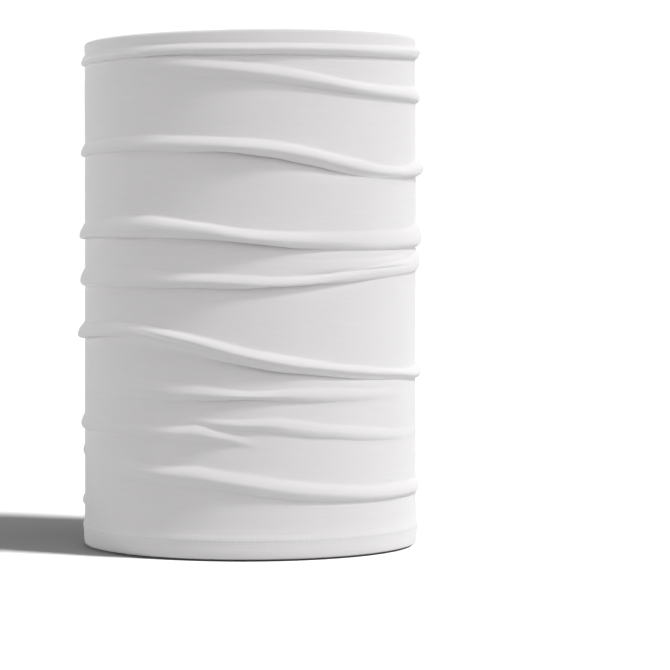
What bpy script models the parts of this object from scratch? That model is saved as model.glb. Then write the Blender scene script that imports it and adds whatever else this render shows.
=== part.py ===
"""Neck gaiter: a tube of stretch-knit cloth with a turned-in, coverstitched hem
at each end and a flatlock seam down the back, standing on its bottom edge.

Units are metres, +Z is up. The origin is the centre of the bottom opening on
the plane the gaiter stands on; the front faces -Y and the back seam is at +Y.
"""

import math

import bpy

# ---------------------------------------------------------------- dimensions
RADIUS = 0.0800          # outside radius of the standing tube
HEIGHT = 0.2420          # height as it stands, with its folds
CLOTH = 0.0010           # thickness of one layer of knit
GAP = 0.0003             # clearance kept between neighbouring pieces
THREAD = 0.00025         # radius of a sewing thread

STEPS = 36               # facets around the tube
LOOPER_STEPS = 2 * STEPS # points of a hem looper thread: facet corners and middles
MERGE_DISTANCE = 0.00001 # joins the last turned profile to the first

# Hems. Depths are measured along Z from the edge of the gaiter.
HEM = 0.0120             # depth of each turned-in hem
SLIT = 0.0003            # space between the two layers of a hem
SLIT_START = 0.0015      # depth at which the two layers part
TURNED_END = HEM - 0.0012  # depth at which the turned-in layer ends
EDGE_DROP = 0.0007       # depth of the rounding along the edge
EDGE_INSET = 0.0006      # width of the rounding on each side of the edge

LAYER_INSIDE = RADIUS - CLOTH           # inner side of the outer layer
TURNED_OUTSIDE = LAYER_INSIDE - SLIT    # outer side of the turned-in layer
TURNED_INSIDE = TURNED_OUTSIDE - CLOTH  # inner side of the turned-in layer

# Coverstitch of the hems: two needle rows outside, a looper thread inside.
ROW_1 = 0.0084           # depth of the needle row nearest the edge
ROW_2 = 0.0104           # depth of the second needle row
BOTTOM_BULGE = 0.0005    # how far the bottom hem stands out from the tube
TOP_STAND_1 = 0.0016     # how far the top hem stands out under row 1
TOP_STAND_2 = 0.0006     # the same under row 2

# Back seam
SEAM_HALF = 0.0025       # half the width of the seam
SEAM_END = 0.0010        # distance from each end of the tube to the seam
SEAM_PITCH = 0.006       # rough length of tube between two crossings
COVER_EXTRA = 0.0001     # extra clearance under the cover thread

# Soft folds lying around the tube: height of the crest, drop from the crest
# to the crease under it, and how far the crest stands out from the tube.
FOLDS = (
    (0.2215, 0.0060, 0.0022),
    (0.1870, 0.0058, 0.0028),
    (0.1505, 0.0060, 0.0028),
    (0.1310, 0.0056, 0.0024),
    (0.0985, 0.0070, 0.0030),
    (0.0775, 0.0045, 0.0014),
    (0.0605, 0.0050, 0.0016),
    (0.0390, 0.0065, 0.0020),
)
FOLD_SHOULDER = 0.0085   # length of the soft slope above each crest
SHOULDER_ROOM = 0.002    # least drop from the point above for a shoulder to fit
CREASE_RADIUS = RADIUS - 0.0002  # shoulders and creases lie just inside the tube

CLOTH_COLOUR = (0.80, 0.80, 0.80, 1.0)
CLOTH_ROUGHNESS = 0.92
THREAD_COLOUR = (0.84, 0.84, 0.84, 1.0)
THREAD_ROUGHNESS = 0.6
EMPTY_SIZE = 0.02

# ---------------------------------------------------------------- scene reset
for old in list(bpy.data.objects):
    bpy.data.objects.remove(old, do_unlink=True)

gaiter = bpy.data.collections.new("neck_gaiter")
bpy.context.scene.collection.children.link(gaiter)


# ---------------------------------------------------------------- materials
def material(name, colour, roughness):
    mat = bpy.data.materials.new(name)
    mat.use_nodes = True
    shader = mat.node_tree.nodes["Principled BSDF"]
    shader.inputs["Base Color"].default_value = colour
    shader.inputs["Roughness"].default_value = roughness
    shader.inputs["Metallic"].default_value = 0.0
    mat.diffuse_color = colour
    return mat


def knit(name):
    return material(name, colour=CLOTH_COLOUR, roughness=CLOTH_ROUGHNESS)


def yarn(name):
    return material(name, colour=THREAD_COLOUR, roughness=THREAD_ROUGHNESS)


# ---------------------------------------------------------------- objects
def empty(name, z):
    obj = bpy.data.objects.new(name, None)
    obj.empty_display_size = EMPTY_SIZE
    obj.location = (0.0, 0.0, z)
    gaiter.objects.link(obj)
    return obj


def place(name, data, parent, mat):
    """An object at its parent's origin."""
    data.materials.append(mat)
    obj = bpy.data.objects.new(name, data)
    gaiter.objects.link(obj)
    obj.parent = parent
    return obj


def turned(name, profile, closed, parent, mat):
    """A profile of (radius, z) points turned once around the Z axis."""
    verts = [(radius, 0.0, z) for radius, z in profile]
    edges = [(i, i + 1) for i in range(len(profile) - 1)]
    if closed:
        edges.append((len(profile) - 1, 0))
    mesh = bpy.data.meshes.new(name)
    mesh.from_pydata(verts, edges, [])
    obj = place(name, mesh, parent, mat)
    screw = obj.modifiers.new("turn", "SCREW")
    screw.axis = "Z"
    screw.angle = 2.0 * math.pi
    screw.steps = STEPS
    screw.render_steps = STEPS
    screw.use_merge_vertices = True
    screw.merge_threshold = MERGE_DISTANCE
    screw.use_smooth_shade = True
    return obj


def thread(name, points, cyclic, parent, mat):
    """A sewing thread: a wire of radius THREAD along a polyline."""
    curve = bpy.data.curves.new(name, "CURVE")
    curve.dimensions = "3D"
    curve.resolution_u = 1
    curve.render_resolution_u = 0
    curve.bevel_depth = THREAD
    curve.bevel_resolution = 0
    curve.use_fill_caps = not cyclic
    spline = curve.splines.new("POLY")
    spline.points.add(len(points) - 1)
    for point, position in zip(spline.points, points):
        point.co = (*position, 1.0)
    spline.use_cyclic_u = cyclic
    place(name, curve, parent, mat)


# ---------------------------------------------------------------- tube
def tube_profile():
    """Outer side of the cloth, top to bottom, with its folds."""
    points = [(RADIUS, HEIGHT - HEM - GAP)]
    for crest, drop, stand in FOLDS:
        shoulder = crest + FOLD_SHOULDER
        if shoulder < points[-1][1] - SHOULDER_ROOM:
            points.append((CREASE_RADIUS, shoulder))
        points.append((RADIUS + stand, crest))
        points.append((CREASE_RADIUS, crest - drop))
    points.append((RADIUS, HEM + GAP))
    return points


def build_tube(parent):
    tube = turned("fabric_tube", tube_profile(), False, parent, knit("knit_tube"))
    skin = tube.modifiers.new("cloth", "SOLIDIFY")
    skin.thickness = CLOTH
    skin.offset = -1.0
    skin.use_rim = True
    skin.use_even_offset = False


# ---------------------------------------------------------------- hems
def build_bottom_hem(parent):
    """Closed outline of (radius, z); the outer side runs down."""
    outline = [
        (RADIUS, HEM),
        (RADIUS + BOTTOM_BULGE, HEM - 0.0016),
        (RADIUS + 0.0002, HEM - 0.0060),
        (RADIUS, EDGE_DROP),
        (RADIUS - EDGE_INSET, 0.0),
        (TURNED_INSIDE + EDGE_INSET, 0.0),
        (TURNED_INSIDE, EDGE_DROP),
        (TURNED_INSIDE, TURNED_END),
        (TURNED_OUTSIDE, TURNED_END),
        (TURNED_OUTSIDE, SLIT_START),
        (LAYER_INSIDE, SLIT_START),
        (LAYER_INSIDE, HEM),
    ]
    turned("bottom_hem", outline, True, parent, knit("knit_bottom_hem"))


def build_top_hem(parent):
    """Closed outline of (radius, z below the top edge), with a flared outer layer."""
    outline = [
        (RADIUS - EDGE_INSET, 0.0),
        (RADIUS, -EDGE_DROP),
        (RADIUS + 0.0007, -0.0040),
        (RADIUS + 0.0020, -0.0070),
        (RADIUS + 0.0004, -HEM + 0.0020),
        (RADIUS, -HEM),
        (LAYER_INSIDE, -HEM),
        (LAYER_INSIDE + 0.0003, -HEM + 0.0022),
        (RADIUS + 0.0009, -0.0072),
        (RADIUS - 0.0003, -0.0042),
        (LAYER_INSIDE, -SLIT_START),
        (TURNED_OUTSIDE, -SLIT_START),
        (TURNED_OUTSIDE, -TURNED_END),
        (TURNED_INSIDE, -TURNED_END),
        (TURNED_INSIDE, -EDGE_DROP),
        (TURNED_INSIDE + EDGE_INSET, 0.0),
    ]
    turned("top_hem", outline, True, parent, knit("knit_top_hem"))


def needle_ring(radius, z):
    """Points of a needle row, level all the way round."""
    angles = (2.0 * math.pi * i / STEPS for i in range(STEPS))
    return [(radius * math.cos(angle), radius * math.sin(angle), z) for angle in angles]


def looper_ring(radius, low, high):
    """Points of a looper thread: it crosses between the two needle rows."""
    points = []
    for i in range(LOOPER_STEPS):
        angle = 2.0 * math.pi * i / LOOPER_STEPS
        if i % 2 == 0:
            reach, z = radius, low
        else:
            # this point lies on the middle of a facet
            reach, z = radius * math.cos(math.pi / STEPS), high
        points.append((reach * math.cos(angle), reach * math.sin(angle), z))
    return points


def coverstitch(end, parent, lower, upper):
    """The three threads of a hem; each needle row is (stand of the cloth, z)."""
    for row, (stand, z) in (("lower", lower), ("upper", upper)):
        points = needle_ring(RADIUS + stand + GAP + THREAD, z)
        thread(f"{end}_hem_needle_thread_{row}", points, True, parent,
               yarn(f"thread_{end}_{row}"))
    points = looper_ring(TURNED_INSIDE - GAP - THREAD, low=lower[1], high=upper[1])
    thread(f"{end}_hem_looper_thread", points, True, parent, yarn(f"thread_{end}_looper"))


# ---------------------------------------------------------------- back seam
def seam_line(distance):
    """(y, z) down the back, the tube profile moved outwards by a distance."""
    profile = tube_profile()
    profile[0] = (profile[0][0], profile[0][1] - SEAM_END)
    profile[-1] = (profile[-1][0], profile[-1][1] + SEAM_END)
    last = len(profile) - 1
    line = []
    for i, (y, z) in enumerate(profile):
        y_before, z_before = profile[max(i - 1, 0)]
        y_after, z_after = profile[min(i + 1, last)]
        run, rise = y_after - y_before, z_after - z_before
        length = math.hypot(run, rise)
        line.append((y - rise / length * distance, z + run / length * distance))
    return line


def seam_zigzag(distance):
    """Points that cross the seam from side to side while they run down."""
    line = seam_line(distance)
    points = []
    x = SEAM_HALF
    for (y_start, z_start), (y_end, z_end) in zip(line[:-1], line[1:]):
        run, rise = y_end - y_start, z_end - z_start
        count = max(1, round(math.hypot(run, rise) / SEAM_PITCH))
        for k in range(count):
            part = k / count
            points.append((x, y_start + run * part, z_start + rise * part))
            x = -x
    points.append((x, *line[-1]))
    return points


def build_back_seam(parent):
    """Two needle threads, a cover thread over them and a looper inside."""
    # left and right as seen from behind
    for side, x in (("left", SEAM_HALF), ("right", -SEAM_HALF)):
        points = [(x, y, z) for y, z in seam_line(GAP + THREAD)]
        thread(f"back_seam_needle_thread_{side}", points, False, parent,
               yarn(f"thread_seam_{side}"))
    for kind, distance in (
        ("cover", 2 * GAP + 4 * THREAD + COVER_EXTRA),
        ("looper", -CLOTH - 2 * GAP - THREAD),
    ):
        thread(f"back_seam_{kind}_thread", seam_zigzag(distance), False, parent,
               yarn(f"thread_seam_{kind}"))


# ---------------------------------------------------------------- assembly
lower_end = empty("lower_end", 0.0)
upper_end = empty("upper_end", HEIGHT)

build_tube(lower_end)
build_bottom_hem(lower_end)
coverstitch("bottom", lower_end, lower=(BOTTOM_BULGE, ROW_1), upper=(BOTTOM_BULGE, ROW_2))
build_top_hem(upper_end)
coverstitch("top", upper_end, lower=(TOP_STAND_2, -ROW_2), upper=(TOP_STAND_1, -ROW_1))
build_back_seam(lower_end)
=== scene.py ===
"""Final looks of the neck gaiter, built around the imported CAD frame.

The cloth is one continuous surface from hem to hem: every point of it comes from
one description of the folds (a crest line and a crease line round the tube for
each fold), so the tube, the two hems and the stitches share their edges.
Lengths below are in millimetres until the meshes are made.
"""
import math

import bpy
import numpy as np
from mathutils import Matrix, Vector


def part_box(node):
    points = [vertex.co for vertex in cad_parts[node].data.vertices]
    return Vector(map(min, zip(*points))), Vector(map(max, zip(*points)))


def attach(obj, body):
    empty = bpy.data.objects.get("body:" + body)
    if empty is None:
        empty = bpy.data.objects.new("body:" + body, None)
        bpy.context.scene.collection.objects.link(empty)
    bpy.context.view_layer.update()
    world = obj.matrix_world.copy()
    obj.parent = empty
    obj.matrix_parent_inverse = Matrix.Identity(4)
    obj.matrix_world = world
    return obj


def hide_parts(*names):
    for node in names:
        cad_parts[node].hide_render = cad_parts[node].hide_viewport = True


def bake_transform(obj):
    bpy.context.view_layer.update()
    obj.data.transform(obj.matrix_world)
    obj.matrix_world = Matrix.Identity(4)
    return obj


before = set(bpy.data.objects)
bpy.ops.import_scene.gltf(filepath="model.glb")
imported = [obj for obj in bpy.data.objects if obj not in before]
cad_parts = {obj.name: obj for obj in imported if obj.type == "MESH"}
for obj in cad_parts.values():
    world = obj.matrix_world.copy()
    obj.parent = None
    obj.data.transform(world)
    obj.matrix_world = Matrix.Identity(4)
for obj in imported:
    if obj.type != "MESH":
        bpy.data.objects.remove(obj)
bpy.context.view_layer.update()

# ------------------------------------------------------------ sizes from the frame
hem_lo, hem_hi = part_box("bottom_hem")
top_lo, top_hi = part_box("top_hem")
R = (hem_hi.x - 0.0005) * 1000.0        # outside radius of the tube
H = top_hi.z * 1000.0                   # standing height
Z_LOW = hem_hi.z * 1000.0 + 0.15        # where the bottom hem meets the tube
Z_TOP = top_lo.z * 1000.0 - 0.15        # where the tube meets the top hem
T = 0.95                                # one layer of cloth
SLIT = 0.25                             # between the two layers of a hem
NT = 232                                # columns round the tube
MM = 0.001


# ------------------------------------------------------------ helpers for curves round the tube
def round_curve(pairs):
    """A smooth curve round the tube through (degrees, value) pairs, as a function of degrees.
    0 is the front, 90 the wearer's left as seen from the front (+X), 180 the back."""
    pairs = sorted(pairs)
    x = np.array([p[0] for p in pairs], float)
    y = np.array([p[1] for p in pairs], float)
    x = np.concatenate([x[-2:] - 360.0, x, x[:2] + 360.0])
    y = np.concatenate([y[-2:], y, y[:2]])
    h = np.diff(x)
    d = np.diff(y) / h
    m = np.zeros_like(y)
    for i in range(1, len(y) - 1):
        if d[i - 1] * d[i] > 0:
            w1, w2 = 2 * h[i] + h[i - 1], h[i] + 2 * h[i - 1]
            m[i] = (w1 + w2) / (w1 / d[i - 1] + w2 / d[i])
    m[0], m[-1] = d[0], d[-1]

    def at(deg):
        q = (np.asarray(deg, float) + 180.0) % 360.0 - 180.0
        i = np.clip(np.searchsorted(x, q) - 1, 0, len(h) - 1)
        t = (q - x[i]) / h[i]
        t2, t3 = t * t, t * t * t
        return (
            y[i] * (2 * t3 - 3 * t2 + 1)
            + m[i] * h[i] * (t3 - 2 * t2 + t)
            + y[i + 1] * (-2 * t3 + 3 * t2)
            + m[i + 1] * h[i] * (t3 - t2)
        )

    return at


def smooth(t):
    t = np.clip(t, 0.0, 1.0)
    return t * t * (3 - 2 * t)


# ------------------------------------------------------------ the folds
# crest: line of the steepest part of the soft upper slope; crease: line where the
# fold tucks under. stand: how far it stands out. peak: where between crease (0)
# and crest (1) it stands out most. soft: 1 where the crease fades to a wave.
FOLDS = [
    dict(name="low_left",
         crest=[(-90, 22.9), (-70, 22.4), (180, 24), (-130, 24), (0, 21), (90, 19)],
         crease=[(-90, 19.3), (-70, 18.9), (180, 20.5), (-130, 20.5), (0, 18), (90, 16)],
         stand=[(-130, 1.2), (-90, 1.1), (-75, 0.6), (-62, 0.0), (100, 0.0), (150, 0.5), (180, 1.0)],
         peak=[(0, 0.5), (180, 0.5)], soft=[(-90, 0.3), (180, 0.5), (0, 0.8)], width=[(-90, 0.9), (180, 0.9)]),
    dict(name="front_low",
         crest=[(-90, 46.9), (-70, 44.8), (-50, 42.5), (-33, 40.7), (-19, 40.5), (-11, 39.2), (-1, 37.5), (7, 35.6),
                (17, 33.6), (30, 31.8), (50, 30.4), (90, 30.5), (130, 33), (180, 38), (-140, 43), (-115, 46)],
         crease=[(-90, 43.3), (-70, 41), (-50, 38.4), (-33, 35.2), (-19, 33.2), (-11, 31.8), (-1, 29.5), (7, 27.8),
                 (17, 26.2), (30, 25.2), (50, 24.5), (90, 25), (130, 28), (180, 33), (-140, 38), (-115, 42)],
         stand=[(-90, 0.85), (-80, 0.5), (-70, 0.2), (-58, 0.3), (-46, 1.0), (-30, 2.5), (-8, 3.0), (12, 2.9), (30, 2.4), (60, 1.8), (90, 1.6),
                (130, 1.4), (180, 1.4), (-140, 1.8), (-115, 1.2)],
         peak=[(-90, 0.5), (-20, 0.6), (0, 0.6), (90, 0.5), (180, 0.5)],
         soft=[(-90, 0.5), (-75, 0.9), (-45, 0.95), (-20, 0.75), (0, 0.5), (15, 0.3), (50, 0.3), (90, 0.3), (180, 0.4)],
         width=[(-90, 0.9), (-20, 0.7), (10, 0.65), (90, 0.8), (180, 0.85)]),
    dict(name="left_mid_a",
         crest=[(-90, 61.4), (-60, 61.2), (-40, 60.9), (-28, 60.6), (-19, 60.6), (-13, 58.9), (-6, 56.7), (2, 54.5), (20, 52),
                (60, 50), (90, 50), (130, 52), (180, 55), (-140, 58), (-115, 60.6)],
         crease=[(-90, 55.3), (-60, 56), (-40, 56.2), (-28, 55), (-19, 54.2), (-13, 53.4), (-6, 52.4), (2, 50.6), (20, 48.4),
                 (60, 46.6), (90, 46.6), (130, 48.2), (180, 50.8), (-140, 54), (-115, 55.2)],
         stand=[(-90, 1.75), (-60, 1.5), (-42, 1.4), (-24, 2.2), (-15, 2.0), (-5, 1.0), (4, 0.0), (110, 0.0), (150, 0.9),
                (180, 1.4), (-140, 2.0), (-115, 1.9)],
         peak=[(-90, 0.52), (-60, 0.42), (-40, 0.36), (-24, 0.42), (-14, 0.55), (90, 0.5), (180, 0.45)],
         soft=[(-90, 0.1), (-60, 0.3), (-40, 0.6), (-15, 0.6), (0, 0.8), (90, 0.6), (180, 0.2)],
         width=[(-90, 0.78), (-15, 0.65), (180, 0.85)]),
    dict(name="right_mid_b",
         crest=[(-90, 70), (-40, 68.2), (-20, 65), (-11, 63.4), (-2, 63.2), (5, 63.6), (15, 62.2), (27, 60), (41, 58.3), (54, 56.8),
                (67, 56), (90, 56.5), (130, 60), (180, 64), (-140, 68), (-115, 70)],
         crease=[(-90, 66), (-40, 64.2), (-20, 61.8), (-11, 60.0), (-2, 59.0), (5, 58.2), (13, 56.4), (21, 55.0), (30, 54.3), (39, 53.1),
                 (54, 52.4), (67, 51.8), (90, 52.3), (130, 55), (180, 59), (-140, 63.5), (-115, 65.5)],
         stand=[(-30, 0.0), (-17, 0.3), (-9, 1.2), (3, 1.8), (20, 1.6), (40, 1.2), (60, 0.6), (75, 0.2), (90, 0.0),
                (120, 0.8), (150, 1.7), (180, 1.6), (-150, 0.7), (-120, 0.0)],
         peak=[(0, 0.6), (90, 0.5), (180, 0.5)],
         soft=[(-15, 0.6), (0, 0.4), (15, 0.45), (40, 0.65), (90, 0.8), (180, 0.3), (-120, 0.8)],
         width=[(0, 0.65), (90, 0.8), (180, 0.85)]),
    dict(name="mid_faint",
         crest=[(-90, 82), (-60, 81), (-40, 80), (-29, 79.1), (-17, 78.3), (-6, 76.7), (1, 76.2), (7, 76.4), (14, 76.8), (27, 76.7),
                (41, 76.0), (60, 75.8), (90, 76), (130, 78), (180, 81), (-140, 84), (-115, 83.5)],
         crease=[(-90, 77), (-60, 76), (-40, 74), (-26, 72.2), (-14, 72.4), (-1, 73.0), (10, 72.4), (21, 71.4), (34, 71.4),
                 (47, 72.0), (90, 72), (130, 73.5), (180, 76), (-140, 78.5), (-115, 78.3)],
         stand=[(-78, 0.0), (-62, 0.5), (-46, 1.3), (-32, 2.0), (-14, 2.3), (2, 2.1), (20, 1.6), (38, 0.9), (55, 0.3), (70, 0.0),
                (120, 0.0), (150, 0.9), (180, 1.6), (-150, 1.4), (-120, 0.4)],
         peak=[(0, 0.55), (180, 0.5)],
         soft=[(-60, 0.9), (-42, 0.8), (-28, 0.3), (-6, 0.0), (12, 0.3), (28, 0.75), (50, 0.9), (180, 0.4)],
         width=[(0, 0.75), (180, 0.85)]),
    dict(name="big_diagonal",
         keen=[(-60, 0), (-44, 0.6), (-14, 0.6), (2, 0), (180, 0)],
         up=[(-36, 0), (-26, 0.3), (-15, 0.8), (-2, 0.95), (8, 0.5), (20, 0.8), (28, 0.4), (38, 0.0), (64, 0), (180, 0)],
         lip=[(-36, 0), (-22, 0.25), (-8, 0.35), (30, 0.35), (48, 0.15), (62, 0), (180, 0)],
         nip=[(-46, 0), (-34, 0.35), (-20, 0.55), (-2, 0.65), (8, 0.8), (34, 0.8), (48, 0.6), (62, 0.45), (90, 0.22), (120, 0), (180, 0)],
         nip_at=[(-46, 4.2), (-30, 4.5), (-18, 4.6), (-5, 4.0), (8, 3.2), (15, 2.5), (26, 2.4), (37, 2.05), (48, 1.7), (62, 1.6), (90, 1.8), (180, 3.0)],
         crest=[(-90, 104.5), (-70, 105.3), (-55, 106.0), (-46, 106.1), (-38, 105.5), (-29, 103.6), (-19, 100.8), (-9, 97.7), (0, 95.0),
                (10, 92.55), (20, 90.4), (30, 88.3), (40, 86.9), (51, 85.5), (65, 84.7), (76, 84.7), (90, 85.1), (120, 87.5), (150, 92), (180, 97.5),
                (-150, 101.5), (-120, 103.8)],
         crease=[(-90, 98.7), (-70, 100.2), (-55, 101.2), (-46, 101.3), (-38, 100.0), (-29, 97.2), (-20, 93.9), (-11, 90.6), (-3, 88.2),
                 (7, 86.0), (14, 84.7), (21, 83.6), (34, 82.3), (45, 81.4), (61, 80.6), (74, 79.7), (90, 79.9), (120, 82),
                 (150, 86.2), (180, 91.6), (-150, 95.8), (-120, 98.2)],
         stand=[(-90, 3.4), (-62, 2.8), (-54, 3.2), (-44, 4.4), (-20, 4.7), (3, 4.7), (22, 3.2), (48, 1.7), (64, 1.9), (90, 2.6),
                (120, 2.8), (150, 3.2), (180, 3.5), (-150, 3.4), (-120, 3.2)],
         peak=[(-90, 0.47), (-55, 0.46), (-38, 0.5), (-20, 0.62), (0, 0.66), (20, 0.58), (50, 0.7), (70, 0.6), (90, 0.5), (180, 0.5)],
         soft=[(-90, 0.0), (-66, 0.05), (-56, 0.3), (-46, 0.7), (-34, 0.85), (-18, 0.8), (-6, 0.4), (6, 0.1), (22, 0.05), (40, 0.1), (90, 0.0), (180, 0.1)],
         width=[(-90, 0.98), (-50, 0.9), (-20, 0.62), (0, 0.55), (20, 0.56), (50, 0.52), (70, 0.62), (90, 0.93), (180, 0.85)]),
    dict(name="rising_right",
         up=[(-30, 0), (-10, 0.2), (-3, 1.0), (3, 1.9), (10, 2.7), (16, 2.4), (24, 1.7), (29, 1.1), (40, 0.2), (55, 0), (180, 0)],
         lip=[(-16, 0), (-6, 0.25), (2, 0.5), (24, 0.5), (36, 0.25), (50, 0), (180, 0)],
         crest=[(-90, 130.3), (-60, 130.4), (-45, 130.4), (-29, 129.7), (-11, 129.2), (0, 128.5), (7, 127.9), (18, 128.2), (31, 130.3), (42, 132.2),
                (55, 134.0), (67, 135.2), (90, 139.2), (120, 140.5), (150, 139), (180, 135.6), (-150, 132), (-120, 130.2)],
         crease=[(-90, 124.2), (-60, 123.9), (-40, 124.0), (-19, 124.0), (-8, 123.4), (0, 122.7), (7, 122.5), (17, 123.4), (29, 125.2), (41, 127.1), (54, 128.8),
                 (74, 130.5), (90, 131.9), (120, 133.2), (150, 132.2), (180, 129.3), (-150, 126.4), (-120, 124.6)],
         stand=[(-90, 2.2), (-60, 2.1), (-40, 2.4), (-18, 3.1), (5, 2.7), (20, 2.1), (35, 1.5), (55, 1.2), (90, 2.0),
                (120, 2.4), (150, 2.8), (180, 2.6), (-150, 2.1), (-120, 2.1)],
         peak=[(-90, 0.5), (-50, 0.48), (-20, 0.55), (0, 0.62), (20, 0.62), (45, 0.7), (70, 0.6), (90, 0.58), (180, 0.5)],
         soft=[(-90, 0.0), (-45, 0.05), (-20, 0.2), (0, 0.1), (15, 0.05), (40, 0.15), (60, 0.4), (75, 0.3), (90, 0.1), (180, 0.1)],
         width=[(-90, 0.93), (-50, 0.9), (0, 0.65), (30, 0.62), (60, 0.75), (90, 0.93), (180, 0.85)]),
    dict(name="rising_lip",
         crest=[(-90, 137), (-40, 136.5), (0, 135), (15, 134.6), (30, 135.2), (54, 137.0), (67, 138.2), (90, 143.2), (120, 144.3),
                (150, 143), (180, 140), (-140, 138)],
         crease=[(-90, 134.2), (-40, 133.6), (0, 131.2), (12, 130.4), (20, 130.3), (27, 130.7), (34, 131.5), (41, 132.3), (54, 133.4), (67, 134.4),
                 (90, 140.4), (120, 141.4), (150, 140), (180, 136.8), (-140, 134.6)],
         stand=[(8, 0.0), (20, 0.35), (32, 0.75), (48, 0.8), (62, 0.5), (74, 0.0)],
         peak=[(0, 0.5), (180, 0.5)], soft=[(0, 0.0), (180, 0.0)], width=[(0, 1.0), (180, 1.0)]),
    dict(name="upper_mid",
         keen=[(-60, 0), (-44, 0.6), (-14, 0.6), (2, 0), (180, 0)],
         up=[(-40, 0), (-28, 0.2), (-18, 0.8), (-10, 1.6), (-3.6, 1.9), (3, 1.7), (10, 1.1), (16, 0.5), (26, 0.1), (40, 0), (180, 0)],
         lip=[(-36, 0), (-22, 0.4), (-8, 0.55), (8, 0.5), (18, 0.25), (30, 0), (180, 0)],
         crest=[(-90, 151.8), (-66, 152.8), (-52, 154.2), (-42, 155.1), (-36, 155.4), (-28, 154.3), (-17, 152.4), (-6, 150.3), (0, 149.3), (5, 148.7),
                (18, 147.8), (34, 148.0), (47, 148.4), (67, 149.2), (90, 152.4), (120, 154.5), (150, 156), (180, 156.5),
                (-150, 155.5), (-120, 153)],
         crease=[(-90, 146.6), (-66, 147.5), (-46, 147.1), (-28, 146.8), (-17, 146.0), (-6, 144.2), (0, 143.3), (7, 142.5), (20, 141.7), (34, 141.5),
                 (47, 141.4), (67, 142.2), (90, 143.2), (120, 146.2), (150, 148.4), (180, 149.4), (-150, 148.9), (-120, 147.2)],
         stand=[(-90, 2.65), (-66, 2.3), (-60, 2.4), (-52, 2.9), (-42, 4.0), (-32, 4.8), (-20, 4.8), (0, 4.4), (18, 2.8), (36, 1.5), (50, 1.3), (64, 1.7),
                (90, 2.8), (120, 3.1), (150, 2.9), (180, 2.8), (-150, 2.6), (-120, 2.6)],
         peak=[(-90, 0.42), (-50, 0.42), (-30, 0.55), (-10, 0.62), (5, 0.66), (25, 0.6), (60, 0.5), (90, 0.52), (180, 0.45)],
         soft=[(-90, 0.0), (-45, 0.05), (-30, 0.4), (-15, 0.45), (-3, 0.15), (8, 0.0), (90, 0.0), (180, 0.15)],
         width=[(-90, 1.1), (-50, 0.95), (-30, 0.7), (0, 0.64), (30, 0.75), (90, 0.93), (180, 0.85)]),
    dict(name="upper_diagonal",
         up=[(-60, 0), (-34, 0), (-22, -0.3), (-10, 1.3), (-3, 1.7), (3, 1.8), (8, 2.0), (14, 1.5), (21, 1.0), (28, 0.2), (38, -0.4), (52, -0.2), (66, 0), (180, 0)],
         lip=[(-34, 0), (-20, 0.35), (-8, 0.55), (24, 0.55), (34, 0.3), (48, 0), (180, 0)],
         nip=[(-24, 0), (-10, 0.15), (0, 0.4), (8, 0.8), (34, 0.9), (44, 0.6), (56, 0.2), (70, 0), (180, 0)],
         nip_at=[(-20, 1.3), (-5, 1.3), (3, 1.8), (12, 2.0), (22, 2.2), (30, 2.2), (40, 1.9), (50, 1.7), (180, 2.0)],
         crest=[(-90, 190.6), (-66, 191.2), (-50, 191.8), (-35, 192.3), (-22, 191.7), (-11, 191.3), (0, 190.6), (10, 189.0), (20, 186.6),
                (31, 183.7), (40, 181.9), (50, 180.0), (61, 179.7), (75, 181.8), (90, 184.8), (120, 188), (150, 191), (180, 192.8),
                (-150, 192.8), (-120, 191.5)],
         crease=[(-90, 186.2), (-60, 186.8), (-35, 187.2), (-22, 186.7), (-15, 186.1), (-6, 184.9), (2, 183.4), (8, 182.1), (15, 180.6), (23, 179.1),
                 (31, 177.5), (38, 176.3), (45, 175.4), (54, 174.9), (67, 175.4), (90, 177.5), (120, 181.0), (150, 184.6),
                 (180, 186.8), (-150, 187.0), (-120, 186.3)],
         stand=[(-90, 1.95), (-60, 1.8), (-40, 2.3), (-24, 2.6), (-14, 3.2), (0, 4.5), (14, 3.9), (32, 2.6), (48, 1.7), (68, 2.4),
                (90, 3.8), (120, 3.6), (150, 3.0), (180, 2.5), (-150, 2.1), (-120, 2.0)],
         peak=[(-90, 0.44), (-45, 0.45), (-20, 0.52), (0, 0.66), (20, 0.69), (50, 0.6), (70, 0.62), (90, 0.64), (180, 0.5)],
         soft=[(-90, 0.0), (-45, 0.05), (-22, 0.3), (-8, 0.2), (5, 0.0), (28, 0.0), (42, 0.35), (54, 0.5), (72, 0.4), (90, 0.05), (180, 0.15)],
         width=[(-90, 1.02), (-40, 1.0), (-20, 0.85), (0, 0.62), (20, 0.58), (50, 0.66), (90, 0.62), (180, 0.8)]),
    dict(name="top_right",
         crest=[(-90, 229.2), (-50, 229.4), (-35, 229.3), (-23, 228.6), (-11, 227.2), (0, 225.5), (7, 224.2), (21, 221.3), (34, 218.7),
                (47, 217.2), (61, 216.7), (90, 216.9), (120, 219), (150, 222.6), (180, 226), (-150, 228), (-120, 228.9)],
         crease=[(-90, 224.5), (-50, 224), (-35, 222.8), (-23, 221.4), (-11, 219.9), (0, 218.7), (7, 217.7), (21, 215.6), (30, 214.4),
                 (40, 213.2), (51, 212.2), (65, 211.9), (90, 212.3), (120, 214.4), (150, 217.8), (180, 221.2), (-150, 223.4), (-120, 224.4)],
         stand=[(-60, 0.0), (-44, 0.5), (-32, 1.7), (-20, 2.6), (-8, 2.9), (7, 2.9), (30, 2.8), (60, 2.3), (90, 2.05), (120, 1.9),
                (150, 1.3), (180, 0.6), (-155, 0.0)],
         peak=[(-40, 0.6), (0, 0.6), (40, 0.55), (90, 0.58), (180, 0.5)],
         soft=[(-40, 0.9), (-15, 0.65), (5, 0.5), (25, 0.35), (40, 0.3), (54, 0.5), (74, 0.5), (90, 0.15), (180, 0.6)],
         width=[(-40, 0.75), (0, 0.66), (40, 0.72), (90, 1.0), (180, 0.85)]),
]
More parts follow.
